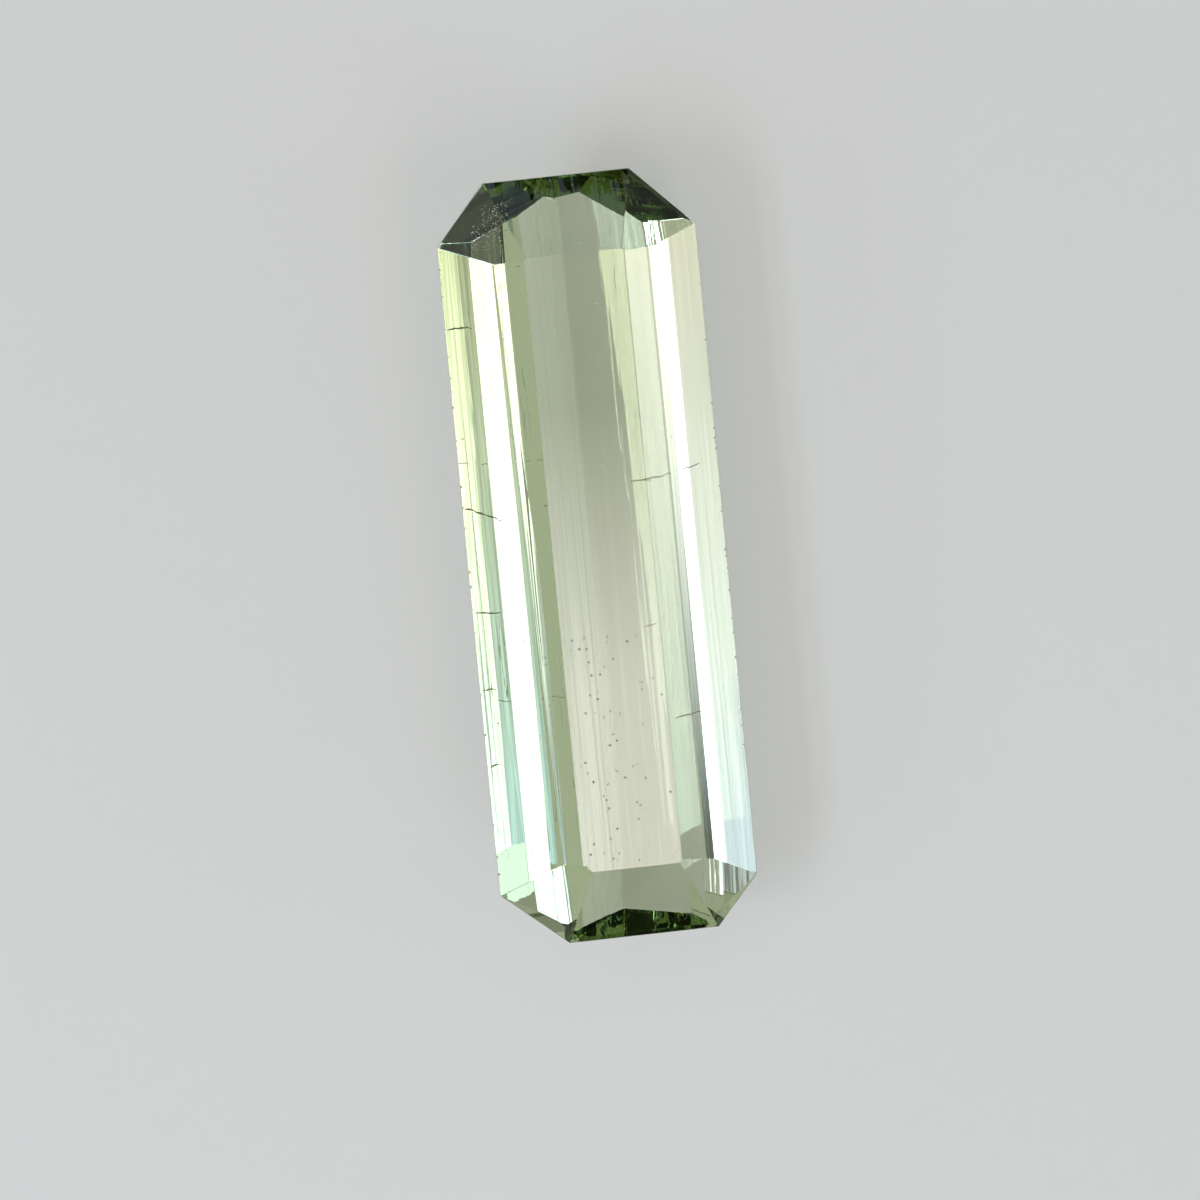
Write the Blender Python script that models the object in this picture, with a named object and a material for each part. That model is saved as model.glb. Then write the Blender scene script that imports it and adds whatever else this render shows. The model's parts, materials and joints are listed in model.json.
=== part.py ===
"""A long step-cut tourmaline, lying on the facet to the right of its keel.

The stone is one piece. It is cut the way a cutter does it: a rough block is ground away one flat
facet at a time, first the outline at the girdle, then the crown above it and the pavilion below.
While it is cut, the table faces up (+Z), the long side runs along Y, and the upper edge of the
girdle is at height 0. The head is the end at +Y, the foot the end at -Y.
"""
import math

import bmesh
import bpy
from mathutils import Vector

MM = 0.001

# Outline at the girdle
LENGTH = 9.60 * MM
WIDTH = 3.23 * MM
GIRDLE_BAND = 0.081 * MM

# Each corner: its side and end, how far it is cut back along the width and along the length,
# and how much its crown facet takes off the corner of the table
CORNERS = {
    "left head": (-1, +1, 0.64 * MM, 0.74 * MM, 0.02 * MM),
    "right head": (+1, +1, 0.76 * MM, 0.77 * MM, 0.02 * MM),
    "left foot": (-1, -1, 0.81 * MM, 0.69 * MM, 0.075 * MM),
    "right foot": (+1, -1, 0.54 * MM, 0.61 * MM, 0.03 * MM),
}

# Table and crown. Slopes are measured from the girdle, in degrees
CROWN_HEIGHT = 0.434 * MM
TABLE_LEFT = -0.594 * MM
TABLE_RIGHT = 0.656 * MM
TABLE_HEAD = 3.87 * MM
TABLE_FOOT = -3.87 * MM
CROWN_LEFT_OUTER_SLOPE = 25.3
CROWN_RIGHT_OUTER_SLOPE = 26.7
CROWN_LEFT_BREAK = -0.941 * MM
CROWN_RIGHT_BREAK = 1.077 * MM

# Pavilion, the part below the girdle. Each long side has three steps, named from the keel up
PAVILION_DEPTH = 1.505 * MM
KEEL_X = -0.005 * MM
LEFT_KEEL_SLOPE = 31.8
LEFT_KEEL_WIDTH = 0.505 * MM
LEFT_MIDDLE_SLOPE = 40.3
LEFT_GIRDLE_SLOPE = 52.0
RIGHT_KEEL_SLOPE = 21.4
RIGHT_KEEL_WIDTH = 0.816 * MM
RIGHT_MIDDLE_SLOPE = 53.7
RIGHT_GIRDLE_SLOPE = 56.9

# Pavilion steps at the two ends and four corners: slope of the one at the girdle, how far above
# the keel the flatter one takes over, and that one's slope
END_STEPS = {
    +1: (73.3, 0.68 * MM, 58.4),
    -1: (81.0, 0.64 * MM, 57.8),
}
CORNER_STEPS = {
    "left head": (65.0, 1.40 * MM, 53.4),
    "right head": (65.5, 1.23 * MM, 58.0),
    "left foot": (73.1, 0.46 * MM, 58.0),
    "right foot": (78.0, 0.39 * MM, 59.9),
}

# The colour of the stone, pale green
STONE_COLOUR = (0.62, 0.74, 0.50, 1.0)
STONE_ROUGHNESS = 0.02
STONE_IOR = 1.63


def clear_scene():
    for thing in list(bpy.data.objects):
        bpy.data.objects.remove(thing, do_unlink=True)


def rough_block():
    """A sawn block a little larger than the finished stone."""
    block = bmesh.new()
    bmesh.ops.create_cube(block, size=1.0)
    size = Vector((WIDTH * 1.5, LENGTH * 1.2, PAVILION_DEPTH * 4))
    bmesh.ops.scale(block, vec=size, verts=block.verts)
    return block


def grind(stone, through, facing):
    """Cuts one flat facet through a point, and removes what lies on its outer side."""
    parts = stone.verts[:] + stone.edges[:] + stone.faces[:]
    cut = bmesh.ops.bisect_plane(
        stone, geom=parts, dist=1e-8, plane_co=through, plane_no=facing, clear_outer=True
    )
    rim = [edge for edge in cut["geom_cut"] if isinstance(edge, bmesh.types.BMEdge)]
    open_rim = [edge for edge in rim if len(edge.link_faces) == 1]
    if open_rim:
        bmesh.ops.contextual_create(stone, geom=open_rim)


def facing_of(compass, slope, side):
    """The direction that a facet faces: compass is its heading in plan, side +1 crown, -1 pavilion."""
    tilt = math.radians(slope)
    heading = compass.normalized()
    return Vector((heading.x * math.sin(tilt), heading.y * math.sin(tilt), side * math.cos(tilt)))


def corner_line(corner):
    """A point on a corner's cut line, and the heading that the cut faces."""
    sign_x, sign_y, run_x, run_y, table_cut = CORNERS[corner]
    point = Vector((sign_x * (WIDTH / 2 - run_x), sign_y * LENGTH / 2, 0.0))
    return point, Vector((sign_x * run_y, sign_y * run_x, 0.0)).normalized()


def cut_outline(stone):
    """The upright sides of the girdle: two long, two short and four across the corners."""
    for sign in (-1, 1):
        grind(stone, Vector((sign * WIDTH / 2, 0, 0)), Vector((sign, 0, 0)))
        grind(stone, Vector((0, sign * LENGTH / 2, 0)), Vector((0, sign, 0)))
    for corner in CORNERS:
        point, heading = corner_line(corner)
        grind(stone, point, heading)


def cut_crown(stone):
    """The table, two steps down each long side, one step down each end and each corner."""
    grind(stone, Vector((0, 0, CROWN_HEIGHT)), Vector((0, 0, 1)))
    sides = (
        (-1, CROWN_LEFT_OUTER_SLOPE, CROWN_LEFT_BREAK, TABLE_LEFT),
        (+1, CROWN_RIGHT_OUTER_SLOPE, CROWN_RIGHT_BREAK, TABLE_RIGHT),
    )
    for sign, outer_slope, break_x, table_x in sides:
        heading = Vector((sign, 0, 0))
        grind(stone, heading * WIDTH / 2, facing_of(heading, outer_slope, 1))
        break_height = (WIDTH / 2 - abs(break_x)) * math.tan(math.radians(outer_slope))
        rise = CROWN_HEIGHT - break_height
        run = abs(break_x - table_x)
        grind(stone, Vector((table_x, 0, CROWN_HEIGHT)), Vector((sign * rise, 0, run)))
    for sign, table_y in ((1, TABLE_HEAD), (-1, TABLE_FOOT)):
        run = LENGTH / 2 - abs(table_y)
        grind(stone, Vector((0, table_y, CROWN_HEIGHT)), Vector((0, sign * CROWN_HEIGHT, run)))
    for corner, (sign_x, sign_y, run_x, run_y, table_cut) in CORNERS.items():
        point, heading = corner_line(corner)
        table_x = TABLE_LEFT if sign_x < 0 else TABLE_RIGHT
        table_y = TABLE_HEAD if sign_y > 0 else TABLE_FOOT
        run = (point - Vector((table_x, table_y, 0))).dot(heading) + table_cut
        slope = math.degrees(math.atan2(CROWN_HEIGHT, run))
        grind(stone, point, facing_of(heading, slope, 1))


def cut_side_steps(stone, sign, keel_slope, keel_width, middle_slope, girdle_slope):
    """The three steps down one long side, the last of which ends in the keel."""
    heading = Vector((sign, 0, 0))
    keel = Vector((KEEL_X, 0, -GIRDLE_BAND - PAVILION_DEPTH))
    rise = keel_width * math.tan(math.radians(keel_slope))
    step = keel + heading * keel_width + Vector((0, 0, rise))
    lower_rim = heading * WIDTH / 2 + Vector((0, 0, -GIRDLE_BAND))
    grind(stone, keel, facing_of(heading, keel_slope, -1))
    grind(stone, step, facing_of(heading, middle_slope, -1))
    grind(stone, lower_rim, facing_of(heading, girdle_slope, -1))


def cut_long_pavilion(stone):
    cut_side_steps(
        stone, -1, LEFT_KEEL_SLOPE, LEFT_KEEL_WIDTH, LEFT_MIDDLE_SLOPE, LEFT_GIRDLE_SLOPE
    )
    cut_side_steps(
        stone, +1, RIGHT_KEEL_SLOPE, RIGHT_KEEL_WIDTH, RIGHT_MIDDLE_SLOPE, RIGHT_GIRDLE_SLOPE
    )


def cut_short_steps(stone, girdle_point, heading, slope, tip_height, tip_slope):
    """The two steps of an end or a corner: from the girdle down, and the flatter one below it."""
    start = girdle_point + Vector((0, 0, -GIRDLE_BAND))
    grind(stone, start, facing_of(heading, slope, -1))
    drop = PAVILION_DEPTH - tip_height
    inward = drop / math.tan(math.radians(slope))
    step = start - heading * inward + Vector((0, 0, -drop))
    grind(stone, step, facing_of(heading, tip_slope, -1))


def cut_pavilion_ends(stone):
    for sign, steps in END_STEPS.items():
        heading = Vector((0, sign, 0))
        cut_short_steps(stone, heading * LENGTH / 2, heading, *steps)
    for corner, steps in CORNER_STEPS.items():
        point, heading = corner_line(corner)
        cut_short_steps(stone, point, heading, *steps)


def stone_material():
    """Clear pale green tourmaline with a bright polish."""
    material = bpy.data.materials.new("pale_green_tourmaline")
    material.use_nodes = True
    shader = material.node_tree.nodes["Principled BSDF"]
    shader.inputs["Base Color"].default_value = STONE_COLOUR
    shader.inputs["Roughness"].default_value = STONE_ROUGHNESS
    shader.inputs["Metallic"].default_value = 0.0
    shader.inputs["IOR"].default_value = STONE_IOR
    shader.inputs["Transmission Weight"].default_value = 1.0
    material.diffuse_color = STONE_COLOUR
    return material


def cut_stone():
    stone = rough_block()
    cut_outline(stone)
    cut_crown(stone)
    cut_long_pavilion(stone)
    cut_pavilion_ends(stone)
    mesh = bpy.data.meshes.new("cut_tourmaline")
    stone.to_mesh(mesh)
    stone.free()
    return mesh


def lay_down(gem):
    """Rolls the stone onto the facet right of its keel and sets it on the ground, centred."""
    gem.rotation_euler = (0.0, math.radians(RIGHT_KEEL_SLOPE), 0.0)
    turn = gem.rotation_euler.to_matrix()
    corners = [turn @ vertex.co for vertex in gem.data.vertices]
    low = Vector([min(corner[axis] for corner in corners) for axis in range(3)])
    high = Vector([max(corner[axis] for corner in corners) for axis in range(3)])
    gem.location = (-(low.x + high.x) / 2, -(low.y + high.y) / 2, -low.z)


def main():
    clear_scene()
    collection = bpy.data.collections.new("cut_tourmaline_gem")
    bpy.context.scene.collection.children.link(collection)
    gem = bpy.data.objects.new("cut_tourmaline", cut_stone())
    gem.data.materials.append(stone_material())
    collection.objects.link(gem)
    lay_down(gem)


main()
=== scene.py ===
"""A long step-cut tourmaline, pale green and clear, lying on a glowing pale floor under softboxes."""

import json
import math

import bmesh
import bpy
from mathutils import Matrix, Vector, noise


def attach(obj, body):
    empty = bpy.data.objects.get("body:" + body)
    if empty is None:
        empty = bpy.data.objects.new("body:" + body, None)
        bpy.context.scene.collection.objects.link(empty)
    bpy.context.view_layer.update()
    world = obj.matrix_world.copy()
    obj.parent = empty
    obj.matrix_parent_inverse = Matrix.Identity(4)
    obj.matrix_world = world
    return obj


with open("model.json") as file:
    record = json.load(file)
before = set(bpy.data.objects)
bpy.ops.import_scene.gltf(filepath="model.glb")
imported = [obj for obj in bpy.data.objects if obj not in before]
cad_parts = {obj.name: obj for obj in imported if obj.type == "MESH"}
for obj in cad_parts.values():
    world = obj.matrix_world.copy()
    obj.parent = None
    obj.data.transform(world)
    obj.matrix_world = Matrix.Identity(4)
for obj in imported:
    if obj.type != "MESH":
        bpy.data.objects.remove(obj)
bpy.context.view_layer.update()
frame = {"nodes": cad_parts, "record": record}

MM = 0.001

# The photo: 1200 pixels across, and how many of them make a millimetre at the girdle
PHOTO_PIXELS = 1200
PIXELS_PER_MM = 80.3
GEM_CENTRE_PIXEL = (597.0, 557.0)

# The camera's place, seen from the table: degrees off its normal, and how far the gem leans
TILT_TO_LEFT = 5.3
TILT_TO_HEAD = 8.0
LEAN_LEFT = 5.5
CAMERA_DISTANCE = 160 * MM
SENSOR_WIDTH_MM = 36.0
CLIP_START = 1 * MM
CLIP_END = 2000 * MM

# The stone in its own frame: table up, head towards +Y, height 0 at the upper girdle edge
TABLE_HEIGHT = 0.434 * MM
TABLE_CENTRE_X = 0.031 * MM
GIRDLE_MIDDLE = -0.04 * MM
HALF_WIDTH = 1.615 * MM

# The crown's profile across the gem at half its length: distance from the middle, height
CROWN_PROFILE = (
    (-HALF_WIDTH, 0.0),
    (-0.941 * MM, 0.319 * MM),
    (-0.594 * MM, TABLE_HEIGHT),
    (0.656 * MM, TABLE_HEIGHT),
    (1.077 * MM, 0.271 * MM),
    (HALF_WIDTH, 0.0),
)

# Cracks: from and to this distance from the gem's middle, place along it, how far it climbs
# towards the head, how deep it goes, and which waves it has
FISSURES = {
    "left_crack_head": (-1.58 * MM, -1.29 * MM, 3.03 * MM, 0.02 * MM, 0.10 * MM, 3),
    "left_crack_large": (-1.58 * MM, -1.16 * MM, 0.78 * MM, -0.16 * MM, 0.18 * MM, 5),
    "left_crack_middle": (-1.58 * MM, -1.28 * MM, -0.53 * MM, -0.02 * MM, 0.09 * MM, 8),
    "left_crack_low": (-1.58 * MM, -1.42 * MM, -1.51 * MM, 0.01 * MM, 0.07 * MM, 12),
    "left_crack_foot": (-1.58 * MM, -1.46 * MM, -2.48 * MM, 0.02 * MM, 0.07 * MM, 17),
    "right_crack_long": (0.46 * MM, 0.99 * MM, 0.95 * MM, 0.03 * MM, 0.08 * MM, 21),
    "right_crack_outer": (1.13 * MM, 1.37 * MM, 1.00 * MM, 0.05 * MM, 0.08 * MM, 25),
    "right_crack_middle": (0.45 * MM, 0.62 * MM, -0.87 * MM, 0.01 * MM, 0.06 * MM, 28),
    "right_crack_low": (0.74 * MM, 1.08 * MM, -2.06 * MM, 0.03 * MM, 0.07 * MM, 34),
}
FISSURE_THICKNESS = 0.005 * MM
FISSURE_COVER = 0.008 * MM
FISSURE_WAVES = 0.035 * MM
FISSURE_JAGS = 0.014 * MM
FISSURE_SLANT = 0.10
FISSURE_STEPS = 26

# How quickly a crack's waves, its ragged lower edge and its small jags change along it, per
# metre of noise, where the last two are read in the noise, and how ragged that edge is
WAVES_PER_METRE = 9000
RAGS_PER_METRE = 26000
JAGS_PER_METRE = 70000
RAG_LAYER = 7
JAG_LAYER = 3
RAG_SHARE = 0.5

# A crack is shallow at its two ends: the share of its arch that is left off at each
FISSURE_TAPER = 0.12

# The small things: how large they are, and the boxes that they lie in
NEEDLE_RADIUS = 0.0022 * MM
NEEDLE_LENGTH = 1.3 * MM
NEEDLES_LOW = (-0.95 * MM, -3.8 * MM, -0.55 * MM)
NEEDLES_HIGH = (1.2 * MM, 3.7 * MM, 0.05 * MM)
PINPOINT_RADIUS = 0.009 * MM
PINPOINTS_LOW = (-1.1 * MM, -4.1 * MM, -0.5 * MM)
PINPOINTS_HIGH = (1.2 * MM, 4.1 * MM, 0.05 * MM)
DUST_RADIUS = 0.014 * MM
DUST_LOW = (-0.56 * MM, -3.8 * MM, TABLE_HEIGHT)
DUST_HIGH = (0.6 * MM, -0.9 * MM, TABLE_HEIGHT)
NICK_RADIUS = 0.016 * MM
NICKS_INSET = 0.012 * MM
NICKS_REACH = 3.9 * MM
NICKS_BOTTOM = -0.075 * MM
NICKS_TOP = -0.004 * MM

# How far a small thing may be turned at most where it lies any way up, in radians, and how many
# lumps there are to a grain's radius
ANY_TURN = (3.0, 3.0, 3.0)
LUMPS_PER_RADIUS = 1.7

# The stone's left corner at the head is full of specks, which fill these two boxes in it
SPECK_RADIUS = 0.011 * MM
CORNER_LOW = (-1.15 * MM, 3.95 * MM, -0.26 * MM)
CORNER_HIGH = (-0.75 * MM, 4.24 * MM, -0.01 * MM)
TIP_LOW = (-0.99 * MM, 4.24 * MM, -0.18 * MM)
TIP_HIGH = (-0.70 * MM, 4.50 * MM, 0.02 * MM)

# How far polishing has softened the edges between facets, in how many steps, and the least
# angle in degrees between two facets that makes an edge
EDGE_SOFTENING = 0.006 * MM
EDGE_STEPS = 2
EDGE_LEAST_ANGLE = 3

# Corners closer than this, in metres, are one: in the carried-over solid and in a crack
SOLID_WELD = 1e-7
CRACK_WELD = 1e-8

# A hair of air between the stone and the floor
FLOOR_GAP = 0.01 * MM

# Tourmaline: how it bends light, and the colour that a long way through it gives
TOURMALINE_IOR = 1.63
BODY_COLOUR = "#C3D39C"
ABSORPTION_PER_METRE = 400.0

# Fine lines along the stone, left by growth and polishing: how far apart they are, how long
# and how deep, how far they turn the surface at most, in radians, and the levels of the noise
# that give the most
LINE_SPACING = 0.05 * MM
LINE_LENGTH = 6.0 * MM
LINE_DEPTH = 0.25 * MM
LINE_TURN = 0.013
LINE_NOISE = (0.2, 0.8)

# Softboxes stand 100 mm off and run from far past the gem's foot to just past its head, where
# they fade. Between two places their cloth turns from its look at the foot to warm and to its
# brightness at the head, and between the next two it turns cool
SOFTBOX_DISTANCE = 100 * MM
SOFTBOX_FOOT_END = -150 * MM
SOFTBOX_HEAD_END = 8 * MM
CLOTH_FADES_FROM = 2.5 * MM
CLOTH_TURNS_FROM = -19.8 * MM
CLOTH_TURNED_AT = -7.2 * MM
CLOTH_COOLS_FROM = -4 * MM
CLOTH_COOL_AT = 0 * MM
WARM_CLOTH = "#FFF8F1"
COOL_CLOTH = "#D8E4FF"
SKY_CLOTH = "#BCD6FF"

# Each softbox: the first and last angle it covers, in degrees from the line of sight with the
# right side positive, how bright it is towards the gem's head and towards its foot, and its
# colour at the foot. A dim one is a grey card
SOFTBOXES = {
    "left_floor_softbox": (-104, -88, 0.9, 1.15, COOL_CLOTH),
    "left_low_softbox": (-84, -75.5, 4.2, 4.8, COOL_CLOTH),
    "left_lower_middle_softbox": (-75.5, -67.5, 2.5, 0.05, COOL_CLOTH),
    "left_softbox": (-62.5, -56, 8.0, 11.0, COOL_CLOTH),
    "left_slim_softbox": (-52.0, -46.6, 14.0, 7.5, COOL_CLOTH),
    "left_grey_card": (-46.4, -41.6, 0.3, 0.4, COOL_CLOTH),
    "right_high_softbox": (16.0, 23.4, 1.5, 4.2, COOL_CLOTH),
    "right_softbox": (23.4, 50.5, 0.8, 1.9, SKY_CLOTH),
    "right_slim_softbox": (51.0, 56.0, 6.0, 0.5, COOL_CLOTH),
    "right_lower_middle_softbox": (57.3, 63.0, 3.3, 1.3, COOL_CLOTH),
    "right_low_softbox": (63.2, 81.6, 3.0, 3.6, COOL_CLOTH),
}

# This one ends before the others, clear of what the foot of the table mirrors
EARLY_END = {"left_slim_softbox": (-5 * MM, -2 * MM)}

# The softboxes' cloth hangs in faint folds along the gem: how far apart, how long, how much
# they change its brightness, and the levels of the noise that give the most
FOLD_SPACING = 2.2 * MM
FOLD_LENGTH = 90 * MM
FOLD_SHARE = 0.45
FOLD_NOISE = (0.25, 0.75)

# The softbox that mirrors in the table. It dims towards its head end, so the table is bright
# at the foot and clear at the head
TABLE_SOFTBOX = (6.7, 14.1, 0.7, 5.4, WARM_CLOTH)
TABLE_SOFTBOX_HEAD_END = 150 * MM
TABLE_CLOTH_FADES_FROM = 140 * MM
TABLE_CLOTH_DIMS_FROM = -16.3 * MM
TABLE_CLOTH_DIM_AT = -10.5 * MM

# A small softbox that lights the stone's left corner at the foot: its angles, how far it
# reaches along the gem, how far off it is and how bright
CORNER_SOFTBOX = (24.6, 29.6)
CORNER_SOFTBOX_ENDS = (-5 * MM, 7 * MM)
CORNER_SOFTBOX_DISTANCE = 96 * MM
CORNER_SOFTBOX_BRIGHTNESS = 2.6

# Dark cards in front of the right softboxes, past the part of them that the long strips show.
# They keep the stone's left corner at the head dark
FLAGS = {"right_high_flag": (20, 42), "right_low_flag": (42, 63)}
FLAG_ENDS = (-45 * MM, -23.5 * MM)
FLAG_DISTANCE = 97 * MM

# Dark cards past the gem's head and foot
CARD_DISTANCE = 90 * MM
CARD_WIDTH = 170 * MM
CARD_HEIGHT = 80 * MM

# The room above: bright overhead, dim towards its walls
ROOM_OVERHEAD = 0.75
ROOM_WALLS = 0.07

# The floor, and its soft glow from below
FLOOR_COLOUR = "#9E9E9C"
FLOOR_GLOW_COLOUR = "#FFFFF5"
FLOOR_GLOW = 0.31

# How many times light may turn inside the stone before it is given up
LIGHT_BOUNCES = 32


def linear(hex_colour):
    """A colour given as sRGB hex, turned to linear RGBA."""
    channels = []
    for start in (1, 3, 5):
        value = int(hex_colour[start:start + 2], 16) / 255
        channels.append(value / 12.92 if value <= 0.04045 else ((value + 0.055) / 1.055) ** 2.4)
    return (*channels, 1.0)


def add_node(tree, kind, settings=None, links=None, **values):
    """One node: settings are its properties, values its sockets, links where its inputs come from."""
    node = tree.nodes.new(kind)
    for name, value in (settings or {}).items():
        setattr(node, name, value)
    for name, value in values.items():
        node.inputs[name.replace("_", " ")].default_value = value
    for name, source in (links or {}).items():
        tree.links.new(source, node.inputs[name])
    return node


def empty_material(name):
    """A new material and its tree, with no node in it yet."""
    material = bpy.data.materials.new(name)
    material.use_nodes = True
    material.node_tree.nodes.clear()
    return material, material.node_tree


def finish_material(tree, surface, volume=None):
    """Joins a surface, and a volume where there is one, to the material's output."""
    links = {"Surface": surface}
    if volume:
        links["Volume"] = volume
    add_node(tree, "ShaderNodeOutputMaterial", links=links)


def ramp(tree, value, from_low, from_high, to_low, to_high):
    """A value that runs evenly from one level to another between two places."""
    node = add_node(
        tree,
        "ShaderNodeMapRange",
        links={"Value": value},
        From_Min=from_low,
        From_Max=from_high,
        To_Min=to_low,
        To_Max=to_high,
    )
    return node.outputs["Result"]


def mixed_colour(tree, share, first, second):
    """A colour between two: first is a colour or a socket, second a colour."""
    node = add_node(tree, "ShaderNodeMix", settings={"data_type": "RGBA"})
    tree.links.new(share, node.inputs[0])
    if isinstance(first, tuple):
        node.inputs[6].default_value = first
    else:
        tree.links.new(first, node.inputs[6])
    node.inputs[7].default_value = second
    return node.outputs[2]


# Where the stone lies
def mount_of(name):
    """A mount's place and the way it faces, as the record states them."""
    for mount in frame["record"]["mounts"]:
        if mount["name"] == name:
            return Vector(mount["pos_m"]), Vector(mount["axis"]).normalized()
    raise ValueError(name)


def gem_to_row():
    """The matrix from the stone's own frame to the row's."""
    place, up = mount_of("table")
    head = Vector((0, 1, 0))
    right = head.cross(up)
    origin = place - up * TABLE_HEIGHT - right * TABLE_CENTRE_X
    turn = Matrix((right, head, up)).transposed().to_4x4()
    return Matrix.Translation(origin) @ turn


GEM_TO_ROW = gem_to_row()
GEM_RIGHT, GEM_HEAD, GEM_UP = (GEM_TO_ROW.to_3x3().col[index] for index in range(3))
GIRDLE_CENTRE = GEM_TO_ROW @ Vector((0, 0, GIRDLE_MIDDLE))


def view_axes():
    """The camera's right, up and back, from its tilt off the table and the gem's lean."""
    to_head = math.sin(math.radians(TILT_TO_HEAD))
    to_left = math.sin(math.radians(TILT_TO_LEFT))
    back = GEM_HEAD * to_head - GEM_RIGHT * to_left
    back += GEM_UP * math.sqrt(1 - back.length_squared)
    along = (GEM_HEAD - back * GEM_HEAD.dot(back)).normalized()
    across = along.cross(back)
    lean = math.radians(LEAN_LEFT)
    view_up = along * math.cos(lean) + across * math.sin(lean)
    return view_up.cross(back), view_up, back


# Materials
def growth_lines(tree):
    """A surface direction that sways a little from line to line across the stone."""
    place = add_node(tree, "ShaderNodeTexCoord")
    own = add_node(
        tree,
        "ShaderNodeVectorRotate",
        settings={"rotation_type": "Y_AXIS"},
        links={"Vector": place.outputs["Object"]},
        Angle=-math.atan2(GEM_UP.x, GEM_UP.z),
    )
    stretched = add_node(
        tree,
        "ShaderNodeVectorMath",
        settings={"operation": "MULTIPLY"},
        links={"Vector": own.outputs["Vector"]},
    )
    stretched.inputs[1].default_value = (1 / LINE_SPACING, 1 / LINE_LENGTH, 1 / LINE_DEPTH)
    lines = add_node(
        tree,
        "ShaderNodeTexNoise",
        links={"Vector": stretched.outputs["Vector"]},
        Scale=1.0,
        Detail=2.0,
        Roughness=0.5,
    )
    turn = ramp(tree, lines.outputs["Fac"], *LINE_NOISE, -LINE_TURN, LINE_TURN)
    sway = add_node(
        tree, "ShaderNodeVectorMath", settings={"operation": "SCALE"}, links={"Scale": turn}
    )
    sway.inputs[0].default_value = GEM_RIGHT
    swayed = add_node(
        tree,
        "ShaderNodeVectorMath",
        settings={"operation": "ADD"},
        links={"Vector": place.outputs["Normal"]},
    )
    tree.links.new(sway.outputs["Vector"], swayed.inputs[1])
    facing = add_node(
        tree,
        "ShaderNodeVectorTransform",
        settings={"vector_type": "NORMAL", "convert_from": "OBJECT", "convert_to": "WORLD"},
        links={"Vector": swayed.outputs["Vector"]},
    )
    return facing.outputs["Vector"]


def tourmaline_material():
    """Polished tourmaline: clear, pale green, darker where the light's way through it is long."""
    material, tree = empty_material("polished_green_tourmaline")
    shader = add_node(tree, "ShaderNodeBsdfPrincipled")
    shader.inputs["Base Color"].default_value = (1.0, 1.0, 1.0, 1.0)
    shader.inputs["Roughness"].default_value = 0.0
    shader.inputs["IOR"].default_value = TOURMALINE_IOR
    shader.inputs["Transmission Weight"].default_value = 1.0
    tree.links.new(growth_lines(tree), shader.inputs["Normal"])
    body_colour = add_node(
        tree,
        "ShaderNodeVolumeAbsorption",
        Color=linear(BODY_COLOUR),
        Density=ABSORPTION_PER_METRE,
    )
    finish_material(tree, shader.outputs["BSDF"], body_colour.outputs["Volume"])
    return material


def acrylic_material():
    """Milky acrylic sheet, matt and lit softly from below, the plain pale floor."""
    material, tree = empty_material("milky_lit_acrylic")
    shader = add_node(tree, "ShaderNodeBsdfPrincipled", Roughness=0.9)
    shader.inputs["Base Color"].default_value = linear(FLOOR_COLOUR)
    shader.inputs["Specular IOR Level"].default_value = 0.2
    shader.inputs["Emission Color"].default_value = linear(FLOOR_GLOW_COLOUR)
    shader.inputs["Emission Strength"].default_value = FLOOR_GLOW
    finish_material(tree, shader.outputs["BSDF"])
    return material


def cloth_folds(tree, place):
    """How bright the folds of the cloth are, about 1."""
    stretched = add_node(
        tree, "ShaderNodeVectorMath", settings={"operation": "MULTIPLY"}, links={"Vector": place}
    )
    stretched.inputs[1].default_value = (1 / FOLD_SPACING, 1 / FOLD_LENGTH, 0)
    folds = add_node(
        tree,
        "ShaderNodeTexNoise",
        links={"Vector": stretched.outputs["Vector"]},
        Scale=1.0,
        Detail=1.0,
    )
    return ramp(tree, folds.outputs["Fac"], *FOLD_NOISE, 1 - FOLD_SHARE, 1 + FOLD_SHARE)


def softbox_material(name, at_head, at_foot, foot_colour, turns_from, turned_at, fades):
    """Glowing cloth: its brightness and colour turn evenly along it, and its end is soft."""
    material, tree = empty_material(name)
    place = add_node(tree, "ShaderNodeTexCoord")
    axes = add_node(tree, "ShaderNodeSeparateXYZ", links={"Vector": place.outputs["Object"]})
    warmth = ramp(tree, axes.outputs["Y"], turns_from, turned_at, 0.0, 1.0)
    coolness = ramp(tree, axes.outputs["Y"], CLOTH_COOLS_FROM, CLOTH_COOL_AT, 0.0, 1.0)
    brightness = ramp(tree, axes.outputs["Y"], turns_from, turned_at, at_foot, at_head)
    brightness = add_node(
        tree, "ShaderNodeMath", settings={"operation": "MULTIPLY"}, links={"Value": brightness}
    )
    tree.links.new(cloth_folds(tree, place.outputs["Object"]), brightness.inputs[1])
    fades_from, faded_at = fades
    edge = ramp(tree, axes.outputs["Y"], fades_from, faded_at, 1.0, 0.0)
    brightness = add_node(
        tree,
        "ShaderNodeMath",
        settings={"operation": "MULTIPLY"},
        links={"Value": brightness.outputs["Value"]},
    )
    tree.links.new(edge, brightness.inputs[1])
    warm = mixed_colour(tree, warmth, linear(foot_colour), linear(WARM_CLOTH))
    tint = mixed_colour(tree, coolness, warm, linear(COOL_CLOTH))
    glow = add_node(
        tree,
        "ShaderNodeEmission",
        links={"Color": tint, "Strength": brightness.outputs["Value"]},
    )
    finish_material(tree, glow.outputs["Emission"])
    return material


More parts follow.
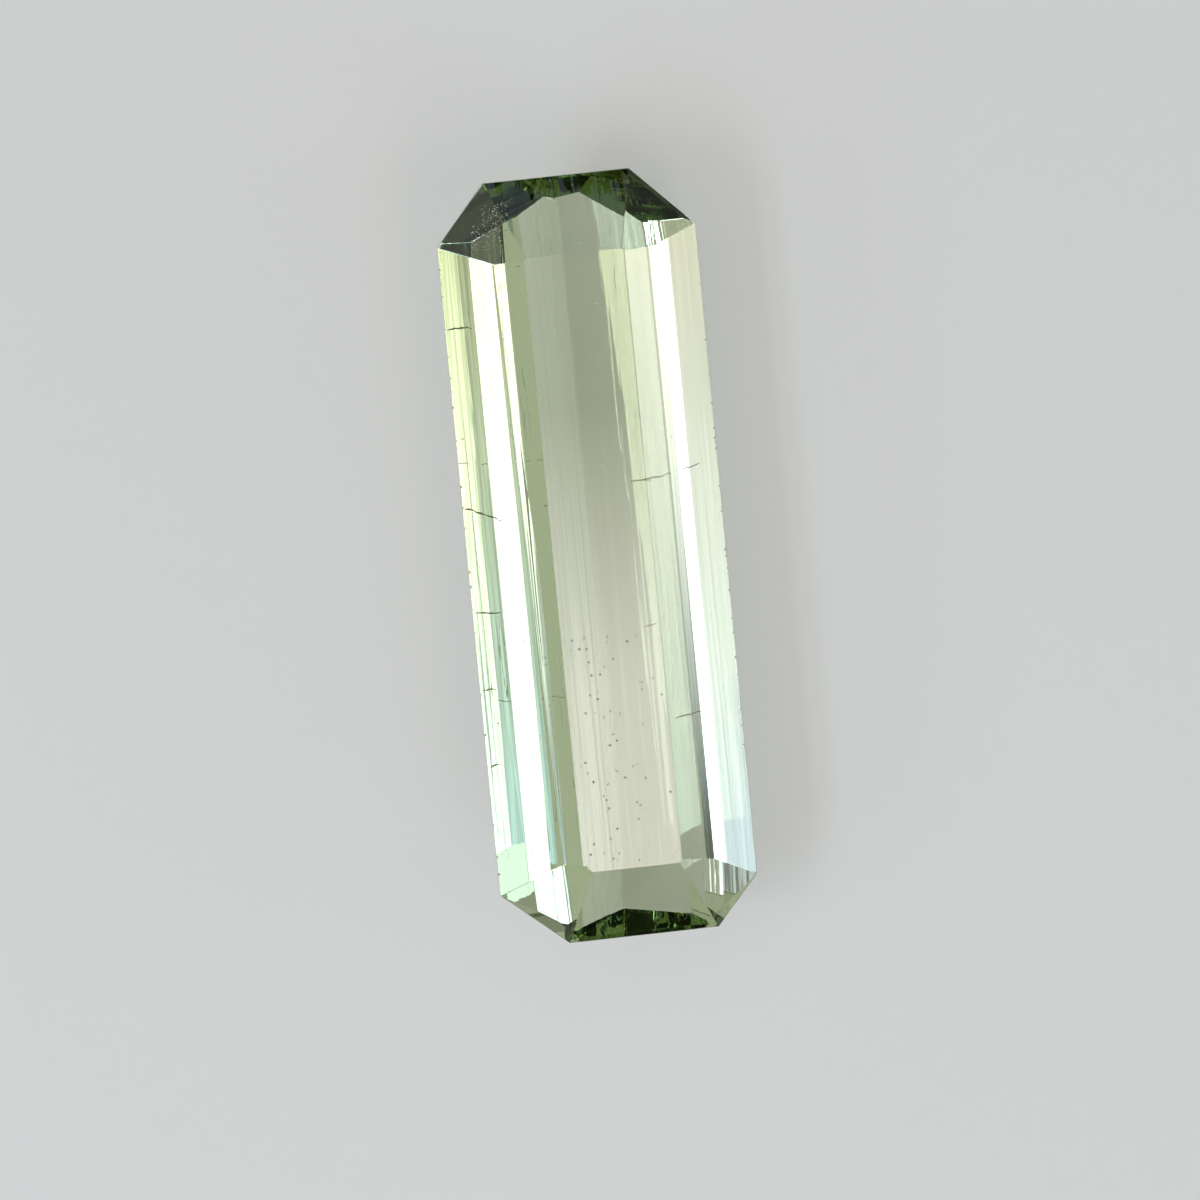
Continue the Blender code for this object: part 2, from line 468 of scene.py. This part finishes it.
def plain_material(name, colour, roughness, transmission=0.0):
    """A finish for what is too small to show a pattern: one colour, all over."""
    material, tree = empty_material(name)
    shader = add_node(tree, "ShaderNodeBsdfPrincipled", Roughness=roughness)
    shader.inputs["Base Color"].default_value = linear(colour)
    shader.inputs["Transmission Weight"].default_value = transmission
    finish_material(tree, shader.outputs["BSDF"])
    return material


def fissure_material():
    """Crack with iron stain: an olive brown film."""
    return plain_material("iron_stained_crack", "#BDB05C", roughness=0.35, transmission=0.7)


def needle_material():
    """Fine hollow growth tube, coloured white as a painted glint: the white stands in for the light that
    it reflects along the stone.
    """
    return plain_material("hollow_growth_tube", "#F4F6EC", roughness=0.2, transmission=0.5)


def pinpoint_material():
    """Tiny foreign crystal: a pale point of light."""
    return plain_material("pale_pinpoint_crystal", "#F6F7F0", roughness=0.3, transmission=0.2)


def dust_material():
    """House dust: dull grey brown grains."""
    return plain_material("grey_brown_dust", "#777160", roughness=0.9)


def nick_material():
    """Fresh chip at the girdle: white and broken, like crushed glass."""
    return plain_material("chipped_edge", "#EDEFE6", roughness=0.35, transmission=0.5)


# Camera, light and floor
def add_camera():
    """The camera looks down on the stone, which stands as large and as far off centre as in the photo."""
    right, up, back = view_axes()
    off_x = (GEM_CENTRE_PIXEL[0] - PHOTO_PIXELS / 2) / PIXELS_PER_MM * MM
    off_y = (PHOTO_PIXELS / 2 - GEM_CENTRE_PIXEL[1]) / PIXELS_PER_MM * MM
    target = GIRDLE_CENTRE - right * off_x - up * off_y
    data = bpy.data.cameras.new("camera")
    data.sensor_width = SENSOR_WIDTH_MM
    view_width = PHOTO_PIXELS / PIXELS_PER_MM * MM
    data.lens = SENSOR_WIDTH_MM * CAMERA_DISTANCE / view_width
    data.clip_start = CLIP_START
    data.clip_end = CLIP_END
    camera = bpy.data.objects.new("camera", data)
    turn = Matrix((right, up, back)).transposed().to_4x4()
    camera.matrix_world = Matrix.Translation(target + back * CAMERA_DISTANCE) @ turn
    bpy.context.scene.collection.objects.link(camera)
    bpy.context.scene.camera = camera


def add_panel(name, angles, ends, distance, material):
    """A flat panel along the gem that covers these angles round its long axis."""
    back = view_axes()[2]
    side = GEM_HEAD.cross(back).normalized()
    level = side.cross(GEM_HEAD)
    middle = math.radians((angles[0] + angles[1]) / 2)
    half_width = distance * math.tan(math.radians((angles[1] - angles[0]) / 2))
    towards = side * math.sin(middle) + level * math.cos(middle)
    foot_end, head_end = ends
    corners = [
        (-half_width, foot_end, 0),
        (half_width, foot_end, 0),
        (half_width, head_end, 0),
        (-half_width, head_end, 0),
    ]
    mesh = bpy.data.meshes.new(name)
    mesh.from_pydata(corners, [], [(0, 1, 2, 3)])
    mesh.materials.append(material)
    panel = bpy.data.objects.new(name, mesh)
    axes = Matrix((GEM_HEAD.cross(towards), GEM_HEAD, towards)).transposed().to_4x4()
    panel.matrix_world = Matrix.Translation(GIRDLE_CENTRE + towards * distance) @ axes
    panel.visible_camera = False
    bpy.context.scene.collection.objects.link(panel)


def add_softbox(name, first_angle, last_angle, *cloth):
    """A long softbox whose brightness and colour turn along the gem."""
    material = softbox_material(name + "_cloth", *cloth)
    ends = (SOFTBOX_FOOT_END, cloth[-1][1])
    add_panel(name, (first_angle, last_angle), ends, SOFTBOX_DISTANCE, material)


def add_corner_softbox():
    """A small softbox of one even brightness."""
    material, tree = empty_material("corner_softbox_cloth")
    glow = add_node(tree, "ShaderNodeEmission", Color=linear(COOL_CLOTH))
    glow.inputs["Strength"].default_value = CORNER_SOFTBOX_BRIGHTNESS
    finish_material(tree, glow.outputs["Emission"])
    add_panel(
        "corner_softbox",
        CORNER_SOFTBOX,
        CORNER_SOFTBOX_ENDS,
        CORNER_SOFTBOX_DISTANCE,
        material,
    )


def add_dark_cards():
    """Dark cards past both ends of the gem and in front of the right softboxes."""
    material = plain_material("dark_card", "#262D16", roughness=0.9)
    for name, angles in FLAGS.items():
        add_panel(name, angles, FLAG_ENDS, FLAG_DISTANCE, material)
    for sign, name in ((1, "head_card"), (-1, "foot_card")):
        bpy.ops.mesh.primitive_plane_add(size=1.0)
        card = bpy.context.object
        card.name = name
        card.scale = (CARD_WIDTH, CARD_HEIGHT, 1)
        card.rotation_euler = (math.pi / 2, 0, 0)
        card.location = (0, sign * CARD_DISTANCE, CARD_HEIGHT / 2)
        card.visible_camera = False
        card.data.materials.append(material)


def add_room():
    """Soft light from the room: bright overhead, dim towards the walls."""
    world = bpy.data.worlds.new("room")
    world.use_nodes = True
    tree = world.node_tree
    direction = add_node(tree, "ShaderNodeTexCoord")
    axes = add_node(tree, "ShaderNodeSeparateXYZ", links={"Vector": direction.outputs["Generated"]})
    strength = ramp(tree, axes.outputs["Z"], 0.0, 1.0, ROOM_WALLS, ROOM_OVERHEAD)
    tree.links.new(strength, tree.nodes["Background"].inputs["Strength"])
    tree.nodes["Background"].inputs["Color"].default_value = linear("#FFFFFF")
    bpy.context.scene.world = world


def add_lights():
    """All that lights the stone, and the cards that keep light off it."""
    soft_end = (CLOTH_FADES_FROM, SOFTBOX_HEAD_END)
    for name, values in SOFTBOXES.items():
        end = EARLY_END.get(name, soft_end)
        add_softbox(name, *values, CLOTH_TURNS_FROM, CLOTH_TURNED_AT, end)
    far_end = (TABLE_CLOTH_FADES_FROM, TABLE_SOFTBOX_HEAD_END)
    add_softbox(
        "table_softbox", *TABLE_SOFTBOX, TABLE_CLOTH_DIMS_FROM, TABLE_CLOTH_DIM_AT, far_end
    )
    add_corner_softbox()
    add_dark_cards()
    add_room()


def add_floor():
    bpy.ops.mesh.primitive_plane_add(size=1.0)
    floor = bpy.context.object
    floor.name = "floor"
    floor.location.z = -FLOOR_GAP
    floor.data.materials.append(acrylic_material())


# What is inside the stone and on it
def scatter_group():
    """Geometry nodes: many small copies of a shape in a box, each turned and sized at random."""
    group = bpy.data.node_groups.new("scatter_in_box", "GeometryNodeTree")
    sockets = (
        ("Shape", "NodeSocketGeometry"),
        ("Count", "NodeSocketInt"),
        ("Seed", "NodeSocketInt"),
        ("Low Corner", "NodeSocketVector"),
        ("High Corner", "NodeSocketVector"),
        ("Smallest", "NodeSocketFloat"),
        ("Largest", "NodeSocketFloat"),
        ("Tilt", "NodeSocketVector"),
        ("Finish", "NodeSocketMaterial"),
    )
    for name, kind in sockets:
        group.interface.new_socket(name, in_out="INPUT", socket_type=kind)
    group.interface.new_socket("Shapes", in_out="OUTPUT", socket_type="NodeSocketGeometry")
    given = add_node(group, "NodeGroupInput").outputs

    def random_value(kind, low, high, seed_step):
        seed = add_node(group, "ShaderNodeMath", links={"Value": given["Seed"]})
        seed.inputs[1].default_value = seed_step
        node = add_node(group, "FunctionNodeRandomValue", settings={"data_type": kind})
        first, last = (0, 1) if kind == "FLOAT_VECTOR" else (2, 3)
        group.links.new(low, node.inputs[first])
        group.links.new(high, node.inputs[last])
        group.links.new(seed.outputs[0], node.inputs["Seed"])
        return node.outputs[0] if kind == "FLOAT_VECTOR" else node.outputs[1]

    place = random_value("FLOAT_VECTOR", given["Low Corner"], given["High Corner"], 0)
    scale = random_value("FLOAT", given["Smallest"], given["Largest"], 1)
    other_way = add_node(
        group,
        "ShaderNodeVectorMath",
        settings={"operation": "SCALE"},
        links={"Vector": given["Tilt"]},
        Scale=-1.0,
    )
    tilt = random_value("FLOAT_VECTOR", other_way.outputs["Vector"], given["Tilt"], 2)
    points = add_node(
        group, "GeometryNodePoints", links={"Count": given["Count"], "Position": place}
    )
    copies = add_node(
        group,
        "GeometryNodeInstanceOnPoints",
        links={
            "Points": points.outputs[0],
            "Instance": given["Shape"],
            "Rotation": tilt,
            "Scale": scale,
        },
    )
    real = add_node(
        group, "GeometryNodeRealizeInstances", links={"Geometry": copies.outputs["Instances"]}
    )
    dressed = add_node(
        group,
        "GeometryNodeSetMaterial",
        links={"Geometry": real.outputs["Geometry"], "Material": given["Finish"]},
    )
    add_node(group, "NodeGroupOutput", links={"Shapes": dressed.outputs["Geometry"]})
    return group


def keep_piece(name, mesh):
    """A finished piece of the gem: its mesh goes from the stone's frame to the row's."""
    mesh.transform(GEM_TO_ROW)
    piece = bpy.data.objects.new(name, mesh)
    bpy.context.scene.collection.objects.link(piece)
    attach(piece, "root")
    return piece


def scatter(group, name, shape, material, **values):
    """Bakes a scatter of one shape into a piece. Values are the group's inputs by name."""
    values["Finish"] = material
    maker = bpy.data.objects.new(name + "_shape", shape)
    bpy.context.scene.collection.objects.link(maker)
    modifier = maker.modifiers.new("scatter", "NODES")
    modifier.node_group = group
    for item in group.interface.items_tree:
        label = item.name.replace(" ", "_")
        if label in values:
            modifier[item.identifier] = values[label]
    graph = bpy.context.evaluated_depsgraph_get()
    mesh = bpy.data.meshes.new_from_object(maker.evaluated_get(graph))
    mesh.name = name
    bpy.data.objects.remove(maker)
    return keep_piece(name, mesh)


def rod(radius, length):
    """A thin six-sided rod along Y."""
    shape = bmesh.new()
    bmesh.ops.create_cone(
        shape, cap_ends=True, segments=6, radius1=radius, radius2=radius, depth=length
    )
    bmesh.ops.rotate(shape, verts=shape.verts, matrix=Matrix.Rotation(math.pi / 2, 3, "X"))
    return shape_mesh(shape, "rod")


def grain(radius, height, roughness, seed):
    """A small lump: a ball with an uneven outline, flattened to its height."""
    shape = bmesh.new()
    bmesh.ops.create_icosphere(shape, subdivisions=2, radius=radius)
    for vertex in shape.verts:
        lumps = noise.noise(vertex.co / radius * LUMPS_PER_RADIUS + Vector((seed, 0, 0)))
        vertex.co *= 1 + roughness * lumps
        vertex.co.z *= height
    return shape_mesh(shape, "grain")


def shape_mesh(shape, name):
    """A finished shape as a mesh."""
    mesh = bpy.data.meshes.new(name)
    shape.to_mesh(mesh)
    shape.free()
    return mesh


def crown_height(x):
    """How high the crown stands over the girdle at this distance from the gem's middle."""
    for (x0, z0), (x1, z1) in zip(CROWN_PROFILE, CROWN_PROFILE[1:]):
        if x <= x1:
            return z0 + (z1 - z0) * (x - x0) / (x1 - x0)
    return 0.0


def fissure_mesh(first_x, last_x, y, rise, depth, seed):
    """A thin uneven crack across the gem under the crown, from one side distance to another."""
    shape = bmesh.new()
    rims = []
    for side in (-1, 1):
        row = []
        for index in range(FISSURE_STEPS + 1):
            share = index / FISSURE_STEPS
            x = first_x + (last_x - first_x) * share
            waves = noise.noise(Vector((x * WAVES_PER_METRE, seed, 0)))
            ragged = noise.noise(Vector((x * RAGS_PER_METRE, seed, RAG_LAYER)))
            jag = noise.noise(Vector((x * JAGS_PER_METRE, seed, JAG_LAYER)))
            arch = math.sin(math.pi * (FISSURE_TAPER + (1 - 2 * FISSURE_TAPER) * share))
            reach = depth * arch * (1 + RAG_SHARE * ragged)
            top = crown_height(x) - FISSURE_COVER
            bow = y + rise * share + FISSURE_WAVES * waves + FISSURE_JAGS * jag
            thick = side * FISSURE_THICKNESS / 2
            upper = shape.verts.new((x, bow + thick, top))
            lower = shape.verts.new((x, bow + thick + FISSURE_SLANT * reach, top - reach))
            row.append((upper, lower))
        rims.append(row)
    near, far = rims
    for index in range(FISSURE_STEPS):
        for one, other in ((near, far), (far, near)):
            a, b = one[index], one[index + 1]
            order = (a[0], b[0], b[1], a[1])
            shape.faces.new(order if one is near else tuple(reversed(order)))
        for level in (0, 1):
            strip = (
                near[index][level],
                far[index][level],
                far[index + 1][level],
                near[index + 1][level],
            )
            shape.faces.new(strip if level == 0 else tuple(reversed(strip)))
    for index in (0, FISSURE_STEPS):
        cap = (near[index][0], near[index][1], far[index][1], far[index][0])
        shape.faces.new(cap if index == 0 else tuple(reversed(cap)))
    bmesh.ops.remove_doubles(shape, verts=shape.verts, dist=CRACK_WELD)
    bmesh.ops.recalc_face_normals(shape, faces=shape.faces)
    return shape_mesh(shape, "fissure")


def add_fissures():
    """The cracks, each a piece of its own."""
    material = fissure_material()
    for name, crack in FISSURES.items():
        mesh = fissure_mesh(*crack)
        mesh.materials.append(material)
        keep_piece(name, mesh)


def add_small_things():
    """Needles, crystals and specks inside the stone, dust on it and nicks along its girdle."""
    group = scatter_group()
    # The growth needles' white is a painted glint, not a colour of their own
    scatter(
        group, "growth_needles", rod(NEEDLE_RADIUS, NEEDLE_LENGTH), needle_material(),
        Count=46, Seed=11, Smallest=0.25, Largest=1.0, Tilt=(0.02, 0.0, 0.05),
        Low_Corner=NEEDLES_LOW, High_Corner=NEEDLES_HIGH,
    )
    pinpoint = grain(PINPOINT_RADIUS, height=0.8, roughness=0.5, seed=2)
    scatter(
        group, "pinpoint_crystals", pinpoint, pinpoint_material(),
        Count=90, Seed=23, Smallest=0.4, Largest=1.0, Tilt=ANY_TURN,
        Low_Corner=PINPOINTS_LOW, High_Corner=PINPOINTS_HIGH,
    )
    for name, material, count, seed, low, high in (
        ("dark_corner_specks", fissure_material(), 60, 51, CORNER_LOW, CORNER_HIGH),
        ("pale_corner_specks", pinpoint_material(), 90, 57, CORNER_LOW, CORNER_HIGH),
        ("pale_tip_specks", pinpoint_material(), 70, 61, TIP_LOW, TIP_HIGH),
    ):
        speck = grain(SPECK_RADIUS, height=0.7, roughness=0.8, seed=seed)
        scatter(
            group, name, speck, material,
            Count=count, Seed=seed, Smallest=0.3, Largest=1.0, Tilt=ANY_TURN,
            Low_Corner=low, High_Corner=high,
        )
    dust = grain(DUST_RADIUS, height=0.3, roughness=0.8, seed=5)
    scatter(
        group, "table_dust", dust, dust_material(),
        Count=80, Seed=31, Smallest=0.4, Largest=1.0, Tilt=(0.0, 0.0, 3.0),
        Low_Corner=DUST_LOW, High_Corner=DUST_HIGH,
    )
    for side, name in ((-1, "left_girdle_nicks"), (1, "right_girdle_nicks")):
        nick = grain(NICK_RADIUS, height=0.6, roughness=1.2, seed=9 + side)
        edge_x = side * (HALF_WIDTH - NICKS_INSET)
        scatter(
            group, name, nick, nick_material(),
            Count=34, Seed=41 + side, Smallest=0.25, Largest=1.0, Tilt=(1.0, 0.4, 0.6),
            Low_Corner=(edge_x, -NICKS_REACH, NICKS_BOTTOM),
            High_Corner=(edge_x, NICKS_REACH, NICKS_TOP),
        )


def dress_gem():
    """Gives the carried-over solid its tourmaline and its softened edges."""
    gem = frame["nodes"]["cut_tourmaline"]
    gem.data.materials.clear()
    gem.data.materials.append(tourmaline_material())
    weld = gem.modifiers.new("weld", "WELD")
    weld.merge_threshold = SOLID_WELD
    edges = gem.modifiers.new("softened_edges", "BEVEL")
    edges.width = EDGE_SOFTENING
    edges.segments = EDGE_STEPS
    edges.limit_method = "ANGLE"
    edges.angle_limit = math.radians(EDGE_LEAST_ANGLE)


def set_light_paths():
    """Light turns many times inside a step cut before it finds its way out."""
    cycles = bpy.context.scene.cycles
    cycles.max_bounces = LIGHT_BOUNCES
    cycles.transmission_bounces = LIGHT_BOUNCES
    cycles.glossy_bounces = LIGHT_BOUNCES


def set_colours():
    """Plain colours, as a camera gives them: the brightest strips burn out to white."""
    settings = bpy.context.scene.view_settings
    settings.view_transform = "Standard"
    settings.look = "None"


dress_gem()
add_fissures()
add_small_things()
add_floor()
add_camera()
add_lights()
set_light_paths()
set_colours()
